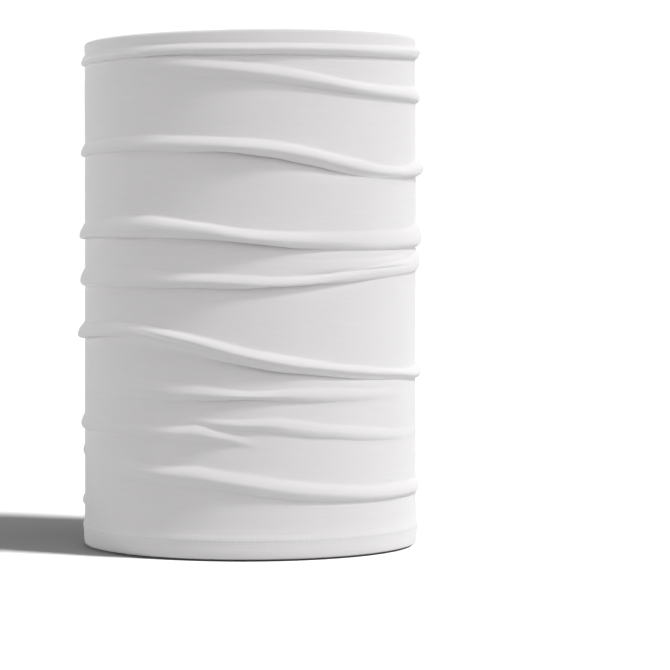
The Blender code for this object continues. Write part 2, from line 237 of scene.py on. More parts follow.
TOP_FOLD = dict(name="top_hem_roll",
                crest=[(-90, 234.6), (-60, 234.6), (-40, 234.9), (0, 234.9), (40, 235.4), (60, 236.1), (75, 237), (90, 238), (120, 237.6),
                       (180, 236), (-120, 235.0)],
                crease=[(-90, 229.9), (-57, 229.8), (-43, 230.3), (-20, 230.6), (0, 230.5), (34, 230.7), (55, 231.2), (70, 232.0), (80, 232.8),
                        (90, 233.3), (120, 232.9), (180, 231.8), (-120, 230.6)],
                stand=[(-90, 1.8), (-50, 1.5), (-30, 1.9), (0, 2.5), (40, 2.5), (70, 2.3), (90, 2.2), (140, 2.0), (180, 1.6), (-130, 1.2)],
                peak=[(-90, 0.35), (-40, 0.48), (0, 0.58), (40, 0.70), (70, 0.80), (90, 0.83), (180, 0.5)],
                soft=[(-90, 0.0), (180, 0.0)],
                width=[(-90, 0.75), (-40, 0.7), (0, 0.62), (50, 0.5), (90, 0.40), (180, 0.7)])
RIM = round_curve([(-90, -1.5), (-45, -0.9), (0, -0.05), (45, 0.7), (90, 1.2), (135, 0.5), (180, -0.2), (-135, -1.0)])


HIP = round_curve([(-90, 1.6), (-40, 1.75), (-20, 1.8), (-2, 1.4), (18, 1.8), (60, 1.7), (180, 1.6)])
HOLLOW = round_curve([(-75, 0.0), (-45, 0.6), (-24, 1.0), (-8, 0.7), (8, 0.1), (30, 0.0), (180, 0.0)])
TUCK = round_curve([(-90, 0.15), (-76, 0.4), (-60, 0.75), (-42, 0.75), (-10, 1.0), (25, 0.95), (50, 0.4), (90, 0.2), (135, 0.5), (180, 0.65)])
BELLY = round_curve([(-90, 1.95), (-60, 1.95), (-42, 1.5), (-10, 1.1), (25, 1.15), (50, 1.75), (90, 1.9), (135, 1.6), (180, 1.45)])


def read_fold(fold, deg):
    got = {k: round_curve(v)(deg) for k, v in fold.items() if k != "name"}
    got["belly"] = BELLY(deg)
    got["hip"] = HIP(deg)
    got["hollow"] = HOLLOW(deg)
    got["deep"] = TUCK(deg)
    for line in ("crest", "crease"):
        got[line] = 1.017 + 0.99564 * got[line]
    # where a roll folds right over, its lip hangs in front of the crease: the crease moves
    # up behind the roll, which keeps its ridge and its upper side
    for key in ("up", "lip", "keen", "nip", "nip_at"):
        got.setdefault(key, np.zeros_like(got["crest"]))
    c = np.maximum(got["crest"] - got["crease"], 2.0)
    ridge = got["crease"] + got["peak"] * c
    crease = np.minimum(got["crease"] + got["up"], ridge - 0.9)
    c_new = np.maximum(got["crest"] - crease, 2.0)
    got["peak"] = (ridge - crease) / c_new
    got["width"] = got["width"] * c / c_new
    got["crease"] = crease
    got["hip"] = got["hip"] + got["keen"]
    got["stand"] = np.maximum(got["stand"], 0.0)
    got["soft"] = np.clip(got["soft"], 0.0, 1.0)
    got["c"] = np.maximum(got["crest"] - got["crease"], 2.0)
    return got


H_ROWS = np.array([0.0, 0.04, 0.10, 0.18, 0.27, 0.36, 0.44, 0.52, 0.60, 0.68, 0.76, 0.85, 0.94, 1.03, 1.12, 1.21, 1.30, 1.40, 1.50, 1.62])


def rounded(t, e):
    """t with its corner at 0 rounded off; 0 stays 0 and 1 stays 1."""
    return (np.sqrt(t * t + e * e) - e) / (math.sqrt(1 + e * e) - e)


def upper_slope(h, peak, width, hip):
    """Upper side of a roll: full at the ridge, turning down more and more, with a short sweep into the flat cloth."""
    u = np.clip((h - peak) / width, 0.0, 1.0)
    return (1 - u ** hip) ** (1.9 - 0.5 * hip)


def shape_sharp(h, peak, width, belly, lip, hip):
    """0..1 outward shape of a fold with a tucked crease at h = 0."""
    t = np.clip((peak - h) / peak, 0.0, 1.0)
    rise = 1 - (1 - lip) * rounded(t, 0.07) ** belly
    return np.where(h <= 0, 0.0, np.where(h < peak, rise, upper_slope(h, peak, width, hip)))


def shape_soft(h, peak, width, hip):
    """0..1 outward shape of a fold whose lower side fades out below the crease line."""
    e = 0.45
    up = 0.5 * (1 - np.cos(math.pi * np.clip((h + e) / (peak + e), 0.0, 1.0)))
    return np.where(h < peak, up, upper_slope(h, peak, width, hip))


def fold_out(fold, z, own_h=None):
    """How far a fold pushes the cloth out at heights z (one per column), in mm.
    own_h is given for the fold's own rows, where the crease is exact."""
    h = (z - fold["crease"]) / fold["c"] if own_h is None else own_h
    sharp = shape_sharp(h, fold["peak"], fold["width"], fold["belly"], fold["lip"], fold["hip"])
    soft = shape_soft(h, fold["peak"], fold["width"], fold["hip"])
    out = fold["stand"] * ((1 - fold["soft"]) * sharp + fold["soft"] * soft)
    # the cloth just under a sharp crease is drawn in
    below = np.minimum(h, 0.0) * fold["c"]
    tuck = np.exp(-((below / (0.75 + 0.4 * np.clip(2.1 - fold["belly"], 0.0, 1.0) + 1.5 * fold["lip"])) ** 2)) * np.where(h <= 0, 1.0, np.exp(-((h * fold["c"] / 0.5) ** 2)))
    depth = fold["deep"] * (0.46 + 0.36 * fold["lip"])
    hollow = 0.17 * fold["hollow"] * fold["stand"] * np.exp(-((below / 5.0) ** 2)) * np.exp(-((np.maximum(h, 0.0) * fold["c"] / 2.2) ** 2))
    # a pinch along the roll, nip_at above its crease; the roll stands a little less under it
    off = (h * fold["c"] - fold["nip_at"]) / 0.70
    pinch = fold["nip"] * (0.85 * np.exp(-(off ** 2)) + 0.80 * smooth(0.5 - 0.5 * off)) * np.where(h > 0, 1.0, 0.0)
    pinch = pinch * smooth(h * fold["c"] / 0.8)
    return out - depth * fold["stand"] * (1 - fold["soft"]) * tuck - hollow - pinch


SEAM_HALF = 2.5                         # half the width of the back seam


def seam_out(deg, z):
    """The flat seam down the back stands a little proud, drawn in along its two needle rows."""
    x = ((np.asarray(deg, float) % 360.0) - 180.0) * math.pi / 180.0 * R
    band = smooth((SEAM_HALF + 0.9 - np.abs(x)) / 0.9)
    rows = np.exp(-(((np.abs(x) - SEAM_HALF) / 0.45) ** 2))
    return 0.28 * band - 0.30 * rows - 0.10 * np.exp(-((x / 0.5) ** 2))


def waves(deg, z):
    """Slow unevenness of the standing cloth between its folds, in mm."""
    a = np.radians(deg)
    return (
        0.08 * np.sin(2 * a + 0.021 * z + 0.6)
        + 0.06 * np.sin(3 * a - 0.034 * z + 2.1)
        + 0.05 * np.sin(5 * a + 0.047 * z + 4.0)
        + 0.04 * np.sin(4 * a - 0.110 * z + 1.0)
    )


def columns(count_round, count_seam, half=6.0):
    """Column angles in degrees, closer together over the back seam at +-180."""
    seam = 180.0 - half + 2 * half * np.arange(count_seam) / count_seam
    rest = -180.0 + half + (360.0 - 2 * half) * np.arange(count_round) / count_round
    return np.sort((np.concatenate([seam, rest]) + 180.0) % 360.0 - 180.0)


deg = columns(NT - 24, 24)
ang = np.radians(deg)
folds = [read_fold(f, deg) for f in FOLDS]
top_fold = read_fold(TOP_FOLD, deg)

# ------------------------------------------------------------ rows of the tube's outer surface
rows_z, rows_own = [], []               # height per column; (fold index, h) for a fold's own rows
start = np.full(NT, Z_LOW)
rows_z.append(start)
rows_own.append(None)
start = start + 0.02
for k, f in enumerate(folds):
    gap = f["crease"] - start
    for j in (0.0, 0.22, 0.42, 0.60, 0.75, 0.87, 0.945, 0.985):
        rows_z.append(start + gap * j)
        rows_own.append(None)
    above = folds[k + 1]["crease"] if k + 1 < len(folds) else np.full(NT, Z_TOP)
    room = np.minimum(H_ROWS[-1] * f["c"], (above - f["crease"]) - 0.8) / (H_ROWS[-1] * f["c"])
    for h in H_ROWS:
        hh = h * np.clip(room, 0.2, 1.0)
        rows_z.append(f["crease"] + hh * f["c"])
        rows_own.append((k, hh))
    start = rows_z[-1] + 0.35
for j in range(7):
    rows_z.append(start + (Z_TOP - 0.02 - start) * j / 6.0)
    rows_own.append(None)
rows_z.append(np.full(NT, Z_TOP))
rows_own.append(None)
rows_z = np.array(rows_z)               # rows x columns
rows_z = np.maximum.accumulate(rows_z, axis=0)

NR = len(rows_z)
out = np.zeros_like(rows_z)
lift = np.zeros_like(rows_z)
for i in range(NR):
    z = rows_z[i]
    own = rows_own[i]
    for k, f in enumerate(folds):
        if own is not None and own[0] == k:
            h = own[1]
            out[i] += fold_out(f, z, own_h=h)
            # the roll hangs a little over its crease
            hang = np.sin(math.pi * np.clip(h / (2 * f["peak"]), 0, 1)) * np.where(h > 0, 1.0, 0.0)
            lift[i] -= 0.36 * f["stand"] * (1 - f["soft"]) * hang * np.exp(-((h / 0.5) ** 2)) * (h > 0)
            droop = np.clip(1 - h / f["peak"], 0, 1) ** 1.5 * (h > 0)
            lift[i] -= 0.34 * f["lip"] * f["stand"] * droop
        else:
            out[i] += fold_out(f, z)
    # the cloth runs smoothly into the bottom hem
    out[i] += 0.34 * (1 - np.clip((z - Z_LOW) / 4.0, 0, 1)) ** 2
    out[i] += fold_out(top_fold, np.minimum(z, top_fold["crease"]))
    out[i] += waves(deg, z) * smooth((z - Z_LOW) / 14.0) * smooth((Z_TOP - z) / 14.0)
    out[i] += seam_out(deg, z)
edge_z = rows_z + lift
radius = R + out


def to_xyz(r, z, a):
    """The standing tube narrows very slightly towards its top."""
    r = r + 0.10 - 0.0031 * z
    return np.stack([r * np.sin(a), -r * np.cos(a), z], axis=-1)


outer = to_xyz(radius, edge_z, ang[None, :])

# inner surface: fewer rows, following the folds more gently
keep_rows = sorted(set(list(range(0, NR, 3)) + [NR - 1]))
in_out = np.zeros((len(keep_rows), NT))
for n, i in enumerate(keep_rows):
    z = rows_z[i]
    for k, f in enumerate(folds):
        h = (z - f["crease"]) / f["c"]
        rise = smooth(h / (1.4 * f["peak"]))
        down = 0.5 * (1 + np.cos(math.pi * np.clip((h - f["peak"]) / f["width"], 0.0, 1.0)))
        in_out[n] += 0.6 * f["stand"] * rise * down
    in_out[n] += waves(deg, z) * smooth((z - Z_LOW) / 14.0) * smooth((Z_TOP - z) / 14.0) - 0.05
in_out[0] *= 0.0
in_out[-1] *= 0.0
in_r = np.minimum(R - T + in_out, radius[keep_rows] - 0.35)
in_r[0] = R - T
in_r[-1] = R - T
inner = to_xyz(in_r, rows_z[keep_rows], ang[None, :])

# cloth length up each column, for the knit pattern
steps = np.linalg.norm(np.diff(outer, axis=0), axis=2)
arc = np.vstack([np.zeros(NT), np.cumsum(steps, axis=0)])
arc *= (arc[-1].mean() / arc[-1])[None, :]
ARC0 = 12.0

# how much of the top end's travel each point would take: folds keep half their height,
# the flat cloth between them closes up. These weights are worked out here but not put on the tube
TRAVEL = 160.0
stiff = np.zeros_like(rows_z)
for k, f in enumerate(folds):
    h = (rows_z - f["crease"][None, :]) / f["c"][None, :]
    stiff = np.maximum(stiff, smooth((h + 0.35) / 0.4) * smooth((1.75 - h) / 0.5) * np.clip(f["stand"] / 1.6, 0, 1)[None, :])
dz = np.diff(rows_z, axis=0)
mid = 0.5 * (stiff[1:] + stiff[:-1])
keep_fold = 0.52
part = (dz * mid).sum(0)
flat = (dz * (1 - mid)).sum(0)
left = (dz.sum(0) - TRAVEL) - keep_fold * part
keep_flat = np.clip(left / flat, 0.03, 0.5)
keep = mid * keep_fold + (1 - mid) * keep_flat[None, :]
w = np.vstack([np.zeros(NT), np.cumsum(dz * (1 - keep), axis=0)])
w = w / w[-1][None, :]


# ------------------------------------------------------------ mesh building
def grid_mesh(name, loops, close_rows, uv_v=None, uv_u0=None):
    """A mesh from rows of points round the tube (each NT or more columns).
    close_rows joins the last row back to the first."""
    rows, cols = loops.shape[:2]
    verts = (loops * MM).reshape(-1, 3)
    r = np.arange(rows if close_rows else rows - 1)
    c = np.arange(cols)
    rr, cc = np.meshgrid(r, c, indexing="ij")
    r2, c2 = (rr + 1) % rows, (cc + 1) % cols
    quads = np.stack([rr * cols + cc, rr * cols + c2, r2 * cols + c2, r2 * cols + cc], axis=-1).reshape(-1, 4)
    mesh = bpy.data.meshes.new(name)
    mesh.vertices.add(len(verts))
    mesh.vertices.foreach_set("co", verts.astype(np.float32).ravel())
    mesh.loops.add(quads.size)
    mesh.loops.foreach_set("vertex_index", quads.astype(np.int32).ravel())
    mesh.polygons.add(len(quads))
    mesh.polygons.foreach_set("loop_start", np.arange(0, quads.size, 4, dtype=np.int32))
    mesh.polygons.foreach_set("use_smooth", np.ones(len(quads), bool))
    if uv_v is not None:
        turn = (uv_u0 + 180.0) / 360.0
        u_a = turn[cc]
        u_b = np.concatenate([turn[1:], turn[:1] + 1.0])[cc]
        va = uv_v[rr, cc]
        vb = uv_v[rr, c2]
        vc = uv_v[np.minimum(rr + 1, uv_v.shape[0] - 1), c2]
        vd = uv_v[np.minimum(rr + 1, uv_v.shape[0] - 1), cc]
        uv = np.stack([
            np.stack([u_a, va], -1), np.stack([u_b, vb], -1), np.stack([u_b, vc], -1), np.stack([u_a, vd], -1)
        ], axis=2).reshape(-1, 2)
        layer = mesh.uv_layers.new(name="knit")
        layer.data.foreach_set("uv", uv.astype(np.float32).ravel())
    mesh.update(calc_edges=True)
    mesh.validate()
    obj = bpy.data.objects.new(name, mesh)
    bpy.context.scene.collection.objects.link(obj)
    return obj


ROUND = 2 * math.pi * R
tube_rows = np.concatenate([outer, inner[::-1]], axis=0)
v_outer = (ARC0 + arc) / ROUND
v_inner = v_outer[keep_rows][::-1]
tube_v = np.concatenate([v_outer, v_inner, v_outer[:1]], axis=0)
tube = grid_mesh("gaiter_tube_cloth", tube_rows, True, uv_v=tube_v, uv_u0=deg)


# ------------------------------------------------------------ a surface reader for stitches
class Surface:
    """Points, outward normals and follow weights on a grid of rows, read at (degrees, height)."""

    def __init__(self, points, col_deg, weights=None):
        self.p = points
        self.deg = np.concatenate([col_deg, col_deg[:1] + 360.0])
        self.w = weights if weights is not None else np.zeros(points.shape[:2])
        du = np.roll(points, -1, axis=1) - np.roll(points, 1, axis=1)
        dv = np.gradient(points, axis=0)
        n = np.cross(du, dv)
        self.n = n / np.maximum(np.linalg.norm(n, axis=2, keepdims=True), 1e-9)
        self.rows, self.cols = points.shape[:2]

    def read(self, d, row):
        """At degrees d and fractional row numbers."""
        q = (np.asarray(d, float) - self.deg[0]) % 360.0 + self.deg[0]
        x = np.interp(q, self.deg, np.arange(self.cols + 1))
        i = np.floor(x).astype(int) % self.cols
        j = (i + 1) % self.cols
        f = (x - np.floor(x))[..., None]
        row = np.clip(row, 0, self.rows - 1.001)
        k = np.floor(row).astype(int)
        g = (row - k)[..., None]
        out_ = []
        for a in (self.p, self.n, self.w[..., None]):
            out_.append((a[k, i] * (1 - f) + a[k, j] * f) * (1 - g) + (a[k + 1, i] * (1 - f) + a[k + 1, j] * f) * g)
        return out_[0], out_[1], out_[2][..., 0]


# ------------------------------------------------------------ the hems
NEEDLES = 180                           # stitches round a hem
PITCH = ROUND / NEEDLES
PER = 6                                 # hem columns per stitch
hem_deg = -180.0 + 360.0 * np.arange(NEEDLES * PER) / (NEEDLES * PER)
hem_ang = np.radians(hem_deg)
ROW_1, ROW_2 = 8.4, 10.4                # needle rows, from the folded edge


def pucker(deg, edge_z, rise=0.0):
    """Cloth drawn in along the two needle rows, most at each needle hole."""
    phase = np.asarray(deg, float) / 360.0 * NEEDLES
    hole = 0.5 + 0.5 * np.cos(2 * math.pi * phase)
    got = 0.0
    for row in (ROW_1, ROW_2):
        near = np.exp(-(((edge_z - row) / 0.62) ** 2))
        got = got - (0.022 + 0.030 * hole) * near
    between = np.exp(-(((edge_z - 0.5 * (ROW_1 + ROW_2)) / 0.5) ** 2))
    return got + 0.012 * hole * between


def along(points):
    """Radius offset as a smooth function of height through (height, offset) points."""
    points = sorted(points)
    x = np.array([p[0] for p in points])
    y = np.array([p[1] for p in points])
    h = np.diff(x)
    d = np.diff(y) / h
    m = np.zeros_like(y)
    m[0], m[-1] = d[0], d[-1]
    for i in range(1, len(y) - 1):
        if d[i - 1] * d[i] > 0:
            w1, w2 = 2 * h[i] + h[i - 1], h[i] + 2 * h[i - 1]
            m[i] = (w1 + w2) / (w1 / d[i - 1] + w2 / d[i])

    def at(q):
        q = np.clip(q, x[0], x[-1])
        i = np.clip(np.searchsorted(x, q) - 1, 0, len(h) - 1)
        t = (q - x[i]) / h[i]
        t2, t3 = t * t, t * t * t
        return (y[i] * (2 * t3 - 3 * t2 + 1) + m[i] * h[i] * (t3 - 2 * t2 + t)
                + y[i + 1] * (-2 * t3 + 3 * t2) + m[i + 1] * h[i] * (t3 - t2))

    return at


BOTTOM = along([(-1, -0.6), (0, -0.45), (1.4, -0.10), (3.0, 0.24), (5.0, 0.42), (6.8, 0.44), (7.7, 0.48), (8.7, 0.63), (9.6, 0.75),
                (10.4, 0.73), (11.3, 0.56), (12.15, 0.36), (13, 0.20)])
EDGE = 1.15                             # radius of a folded edge
LIP = 2.0                               # height of the turn under the bottom edge
UNDER = [(-1.95, 0.0), (-1.94, 0.40), (-1.70, 0.52), (-1.0, 0.60), (-0.42, 0.75), (-0.11, 1.15)]
RAISED = 0.72                           # how far the edge hangs clear of the floor across the front


def raised(deg, h):
    """Heights of the bottom edge: it stands on the floor round the back and hangs just clear across the front."""
    off = (np.asarray(deg, float) + 180.0) % 360.0 - 180.0
    gap = RAISED * (1 - smooth((np.abs(off) - 87.0) / 12.0))
    return gap + h * (1 - gap / 1.6)


def hem_wave(deg):
    """The hem is not a perfect circle."""
    a = np.radians(deg)
    return 0.07 * np.sin(2 * a + 0.9) + 0.06 * np.sin(3 * a + 2.4) + 0.04 * np.sin(7 * a + 0.3)


def bottom_out(deg, z):
    """Radius of the bottom hem's outer face at height z."""
    r = R + BOTTOM(z) + pucker(deg, z) + hem_wave(deg) * smooth((Z_LOW - z) / 3.0)
    return r + seam_out(deg, z) * smooth((z - 0.6) / 1.5)


def top_out(deg, z, fold):
    """Radius of the top hem's outer face at height z."""
    rim = H + RIM(deg)
    t = (rim - z)
    h = (z - fold["crease"]) / fold["c"]
    r = R + fold_out(fold, z) + 0.0
    band = 0.30 * smooth((z - Z_TOP - 5.0) / 3.0) * smooth((t - 0.2) / 1.5)
    r = r + band + hem_wave(deg + 40.0) * smooth((z - Z_TOP) / 3.0)
    return r + pucker(deg, t) * smooth((z - Z_TOP) / 0.6) + seam_out(deg, z)


def section(outer_face, edge_face, inner_face):
    return np.concatenate([outer_face, edge_face, inner_face], axis=0)


def hem_loop(kind):
    """Rows of points round a hem, going up the outside and down the inside (bottom hem),
    or the same turned over (top hem). Each row is (radius, height) for every column."""
    d = hem_deg
    one = np.ones_like(d)
    rows_r, rows_h, rows_v = [], [], []

    def add(r, h, v):
        rows_r.append(np.broadcast_to(r, d.shape).astype(float))
        rows_h.append(np.broadcast_to(h, d.shape).astype(float))
        rows_v.append(np.broadcast_to(v, d.shape).astype(float))

    inner_skin = R - 2 * T - SLIT
    if kind == "bottom":
        # folded edge, from where it rests on its inner layer outwards
        base = bottom_out(d, LIP * one)
        for n, (reach, high) in enumerate(UNDER):
            add(base + reach, raised(d, high), 1.2 * n / len(UNDER))
        zs = np.concatenate([np.linspace(LIP, 7.6, 9), np.linspace(7.9, Z_LOW - 0.02, 18), [Z_LOW]])
        for z in zs:
            add(bottom_out(d, z * one), z, z + 0.2)
        add(R - T, Z_LOW, 12.6)
        add(R - T, 10.0, 14.8)
        add(R - T, 1.9, 22.8)
        add(R - T - 0.5 * SLIT, 1.5, 23.4)
        add(R - T - SLIT, 1.9, 23.8)
        add(R - T - SLIT, 10.9, 32.8)
        add(R - T - SLIT - 0.15, 11.15, 33.1)
        add(inner_skin + 0.15, 11.15, 33.6)
        for z in np.concatenate([np.linspace(10.95, 7.4, 10), np.linspace(6.4, 1.3, 5)]):
            add(inner_skin - 0.6 * pucker(d, z * one) - 0.15 * smooth((7.5 - z) / 2.0) * smooth(z / 2.0), z, 33.8 + (10.95 - z))
        base = bottom_out(d, LIP * one) + UNDER[0][0]
        for q in np.linspace(0.0, 1.0, 6)[1:]:
            a = 0.5 * math.pi * q
            low = np.minimum(inner_skin + 1.0, base)
            add(inner_skin + (base - inner_skin) * (1 - math.cos(a)) * 0.92, raised(d, 1.15 - 1.15 * math.sin(a)), 43.6 + q)
    else:
        fold = read_fold(TOP_FOLD, d)
        rim = H + RIM(d)
        # outer face going up, its own rows following the roll
        zs = [Z_TOP * one, (Z_TOP + 0.02) * one, 0.5 * (Z_TOP + fold["crease"])]
        for h in np.concatenate([[0.0], H_ROWS[1:-2]]):
            zs.append(fold["crease"] + h * fold["c"])
        last = zs[-1]
        edge_top = rim - 1.6
        for q in np.linspace(0.0, 1.0, 8)[1:]:
            zs.append(last + (np.maximum(edge_top, last + 0.8) - last) * q)
        up = 0.0
        prev = None
        for n, z in enumerate(zs):
            r = top_out(d, z, fold)
            if 3 <= n < 3 + len(H_ROWS) - 2:
                h = H_ROWS[n - 3]
                hang = np.sin(math.pi * np.clip(h / (2 * fold["peak"]), 0, 1)) * (1.0 if h > 0 else 0.0)
                if h == 0.0:
                    r = top_out(d, z - 0.001, fold)
                drop = 0.30 * fold["stand"] * hang * math.exp(-((h / 0.5) ** 2))
                z = z - drop
            add(r, z, z - Z_TOP)
        base = rows_r[-1]
        top_z = rows_h[-1]
        depth = rim - top_z
        for q in np.linspace(0.0, 1.0, 7)[1:]:
            a = 0.5 * math.pi * q
            add(base - EDGE * (1 - math.cos(a)), top_z + depth * math.sin(a), 12.2 + 1.6 * q)
        mid_r = rows_r[-1]
        for q in np.linspace(0.0, 1.0, 5)[1:]:
            a = 0.5 * math.pi * q
            add(mid_r + (inner_skin - mid_r) * math.sin(a), rim - 1.3 * (1 - math.cos(a)), 13.8 + 1.4 * q)
        for t in np.concatenate([np.linspace(2.4, 7.2, 5), np.linspace(7.6, 11.0, 10)]):
            add(inner_skin - 0.6 * pucker(d, t * one) - 0.15 * smooth((7.5 - t) / 2.0) * smooth(t / 2.0), rim - t, 13.8 + t)
        add(inner_skin + 0.15, rim - 11.2, 25.2)
        add(R - T - SLIT - 0.15, rim - 11.2, 25.8)
        add(R - T - SLIT, rim - 10.9, 26.1)
        add(R - T - SLIT, rim - 2.2, 34.8)
        add(R - T - 0.5 * SLIT, rim - 1.8, 35.2)
        add(R - T, rim - 2.2, 35.6)
        add(R - T, Z_TOP + 1.2, 45.0)
        add(R - T, Z_TOP, 46.2)
    r, h = np.array(rows_r), np.array(rows_h)
    return to_xyz(r, h, hem_ang[None, :]), np.array(rows_v), r, h


bottom_pts, bottom_v, _, _ = hem_loop("bottom")
top_pts, top_v, _, _ = hem_loop("top")
bottom_hem = grid_mesh("gaiter_bottom_hem", bottom_pts, True, uv_v=np.vstack([bottom_v, bottom_v[:1]]) / ROUND, uv_u0=hem_deg)
top_hem = grid_mesh("gaiter_top_hem", top_pts, True,
                    uv_v=(ARC0 + arc[-1].mean() + np.vstack([top_v, top_v[:1]])) / ROUND, uv_u0=hem_deg)


# ------------------------------------------------------------ threads
def thread_mesh(name, path, normal, thick, closed, sides=6, twist=1.6):
    """A sewing thread as a tube along path; normal gives the side it faces away from the cloth."""
    path = np.asarray(path, float)
    normal = np.asarray(normal, float)
    if closed:
        tangent = np.roll(path, -1, axis=0) - np.roll(path, 1, axis=0)
    else:
        tangent = np.gradient(path, axis=0)
    tangent /= np.linalg.norm(tangent, axis=1, keepdims=True)
    side = np.cross(tangent, normal)
    side /= np.maximum(np.linalg.norm(side, axis=1, keepdims=True), 1e-9)
    up = np.cross(side, tangent)
    if np.ndim(thick) == 0:
        thick = np.full(len(path), float(thick))
    a = 2 * math.pi * np.arange(sides) / sides
    ring = (path[:, None, :] + thick[:, None, None] * (np.cos(a)[None, :, None] * side[:, None, :]
                                                       + np.sin(a)[None, :, None] * up[:, None, :]))
    seg = np.linalg.norm(np.diff(path, axis=0), axis=1)
    length = np.concatenate([[0.0], np.cumsum(seg)])
    n = len(path)
    verts = (ring * MM).reshape(-1, 3)
    rr, cc = np.meshgrid(np.arange(n if closed else n - 1), np.arange(sides), indexing="ij")
    r2, c2 = (rr + 1) % n, (cc + 1) % sides
    quads = np.stack([rr * sides + cc, rr * sides + c2, r2 * sides + c2, r2 * sides + cc], axis=-1).reshape(-1, 4)
    faces = [tuple(q) for q in quads[:, ::-1].tolist()]
    if not closed:
        faces.append(tuple(range(sides)))
        faces.append(tuple((n - 1) * sides + i for i in reversed(range(sides))))
    mesh = bpy.data.meshes.new(name)
    mesh.from_pydata([tuple(v) for v in verts.tolist()], [], faces)
    layer = mesh.uv_layers.new(name="yarn")
    ext = np.concatenate([length, [length[-1] + (seg[-1] if len(seg) else 0.0)]])
    uv = np.zeros((len(quads), 4, 2))
    q_r = rr.reshape(-1)
    q_c = cc.reshape(-1)
    order = [(0, 0), (0, 1), (1, 1), (1, 0)][::-1]
    for k, (dr, dc) in enumerate(order):
        uv[:, k, 0] = (q_c + dc) / sides
        uv[:, k, 1] = ext[q_r + dr] / twist
    flat_uv = uv.reshape(-1)
    data = np.zeros(len(mesh.loops) * 2)
    data[: len(flat_uv)] = flat_uv
    layer.data.foreach_set("uv", data.astype(np.float32))
    mesh.shade_smooth()
    mesh.update()
    obj = bpy.data.objects.new(name, mesh)
    bpy.context.scene.collection.objects.link(obj)
    return obj


NEEDLE_R = 0.16
LOOPER_R = 0.17


def ring_thread(name, face, edge_of, row, sign):
    """Straight stitches round a hem: the thread lies on the cloth and dips in at each hole.
    face(deg, z) gives the radius of the cloth there; sign is 1 outside, -1 inside."""
    per = 12
    n = NEEDLES * per
    d = -180.0 + 360.0 * (np.arange(n) + 0.5) / n
    phase = (d / 360.0 * NEEDLES) % 1.0
    dip = np.exp(-((np.minimum(phase, 1 - phase) / 0.09) ** 2))
    z = edge_of(d, row)
    slope = (face(d, z + 0.15) - face(d, z - 0.15)) / 0.3
    norm = np.stack([np.ones_like(slope), -slope], -1) / np.sqrt(1 + slope**2)[:, None] * sign
    lift_ = NEEDLE_R * (-0.70 if sign > 0 else 0.8) + 0.02 - dip * (NEEDLE_R * 1.2)
    r = face(d, z) + norm[:, 0] * lift_
    h = z + norm[:, 1] * lift_
    a = np.radians(d)
    path = to_xyz(r, h, a)
    nrm = np.stack([norm[:, 0] * np.sin(a), -norm[:, 0] * np.cos(a), norm[:, 1]], -1)
    return thread_mesh(name, path, nrm, NEEDLE_R, True)


def ring_looper(name, radius_of, edge_of):
    """The looper thread inside a hem: loops that cross between the needle rows and over the raw edge."""
    per = 20
    n = NEEDLES * per
    t = (np.arange(n) / per)
    d = (t + 0.30 * np.sin(4 * math.pi * t)) / NEEDLES * 360.0 - 180.0
    row = 0.5 * (ROW_1 + ROW_2) + 0.35 + 1.45 * np.sin(2 * math.pi * t)
    z = edge_of(d, row)
    # the thread crosses itself once a loop: one pass lies on the other
    over = 0.5 + 0.5 * np.sin(4 * math.pi * t + 0.8)
    r = radius_of(d, row) - LOOPER_R * (0.9 + 1.9 * over)
    a = np.radians(d)
    path = to_xyz(r, z, a)
    nrm = np.stack([-np.sin(a), np.cos(a), np.zeros_like(a)], -1)
    return thread_mesh(name, path, nrm, LOOPER_R, True, sides=6)


def fold_at(d):
    return read_fold(TOP_FOLD, d)


def bottom_height(d, row):
    return np.zeros_like(d) + row


def top_height(d, row):
    return H + RIM(d) - row


def top_face(d, z):
    return top_out(d, z, fold_at(d))


threads = []
inner_skin_r = R - 2 * T - SLIT
for suffix, row in (("lower", ROW_1), ("upper", ROW_2)):
    o = ring_thread("bottom_hem_stitches_" + suffix, bottom_out, bottom_height, row, 1)
    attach(o, "lower_end")
    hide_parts("bottom_hem_needle_thread_" + suffix)
    threads.append(o)
for suffix, row in (("upper", ROW_1), ("lower", ROW_2)):
    o = ring_thread("top_hem_stitches_" + suffix, top_face, top_height, row, 1)
    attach(o, "upper_end")
    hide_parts("top_hem_needle_thread_" + suffix)
    threads.append(o)
o = ring_looper("bottom_hem_looper", lambda d, row: inner_skin_r - 0.6 * pucker(d, row), bottom_height)
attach(o, "lower_end")
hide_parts("bottom_hem_looper_thread")
threads.append(o)
o = ring_looper("top_hem_looper", lambda d, row: inner_skin_r - 0.6 * pucker(d, row), top_height)
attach(o, "upper_end")
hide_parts("top_hem_looper_thread")
threads.append(o)

# ------------------------------------------------------------ the back seam's threads
skin_out = Surface(outer, deg, w)
skin_in = Surface(inner, deg, w[keep_rows])
SEAM_PITCH = 2.4


def blend_thread(name, path, nrm, thick, nodes, sides=6):
    o = thread_mesh(name, path, nrm, thick, False, sides=sides)
    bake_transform(o)
    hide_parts(*nodes)
    threads.append(o)
    return o


def seam_track(surface, rows_total, count):
    """Fractional rows evenly spaced along the cloth at the back."""
    p, _, _ = surface.read(np.full(rows_total, 180.0), np.arange(rows_total, dtype=float))
    s = np.concatenate([[0.0], np.cumsum(np.linalg.norm(np.diff(p, axis=0), axis=1))])
    return np.interp(np.linspace(0.4, s[-1] - 0.4, count), s, np.arange(rows_total)), s[-1]


length_back = seam_track(skin_out, NR, 10)[1]
N_SEAM = int(round(length_back / SEAM_PITCH))


